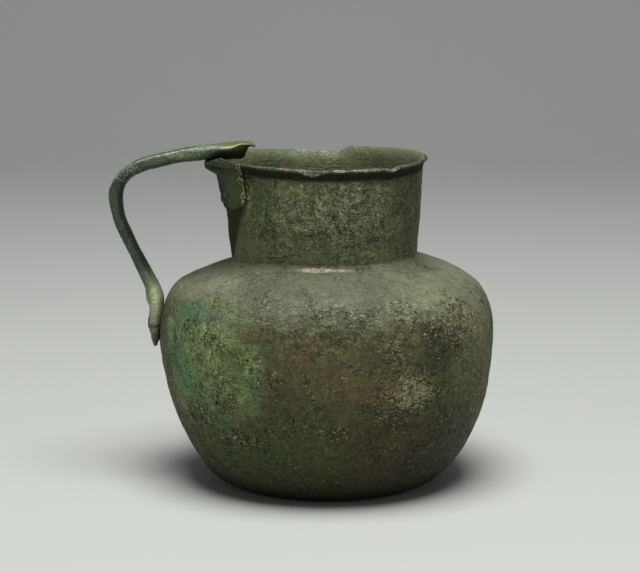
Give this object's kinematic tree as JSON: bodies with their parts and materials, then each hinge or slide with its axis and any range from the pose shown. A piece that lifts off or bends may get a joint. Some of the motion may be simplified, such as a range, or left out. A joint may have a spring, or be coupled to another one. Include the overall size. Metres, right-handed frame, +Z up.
{
  "type": "handled bronze jug",
  "caption": "Squat round-bellied bronze jug with a wide neck, a thin flared lip and a strap handle riveted to a neck plate and to the belly.",
  "frame": {"origin": "middle of the flat base, on the belly's axis, where the jug stands", "axes": "+Z up through the mouth; -X towards the handle; +X away from the handle, along the longest side"},
  "size_m": [0.1201, 0.104, 0.1064],
  "materials": {
    "vessel_bronze": "dark olive patina with a green bloom, pitted",
    "handle_bronze": "grey-green patina, rubbed lighter along its edges",
    "plate_bronze": "dark patina with a pale crust along its front edge",
    "rivet_bronze": "grey-green patina, hammered"
  },
  "bodies": {
    "root": {"vessel": "vessel_bronze", "handle": "handle_bronze", "neck_plate": "plate_bronze", "neck_rivet_front": "rivet_bronze", "neck_rivet_rear": "rivet_bronze", "neck_rivet_lower": "rivet_bronze", "leaf_rivet_front": "rivet_bronze", "leaf_rivet_rear": "rivet_bronze"}
  },
  "joints": []
}
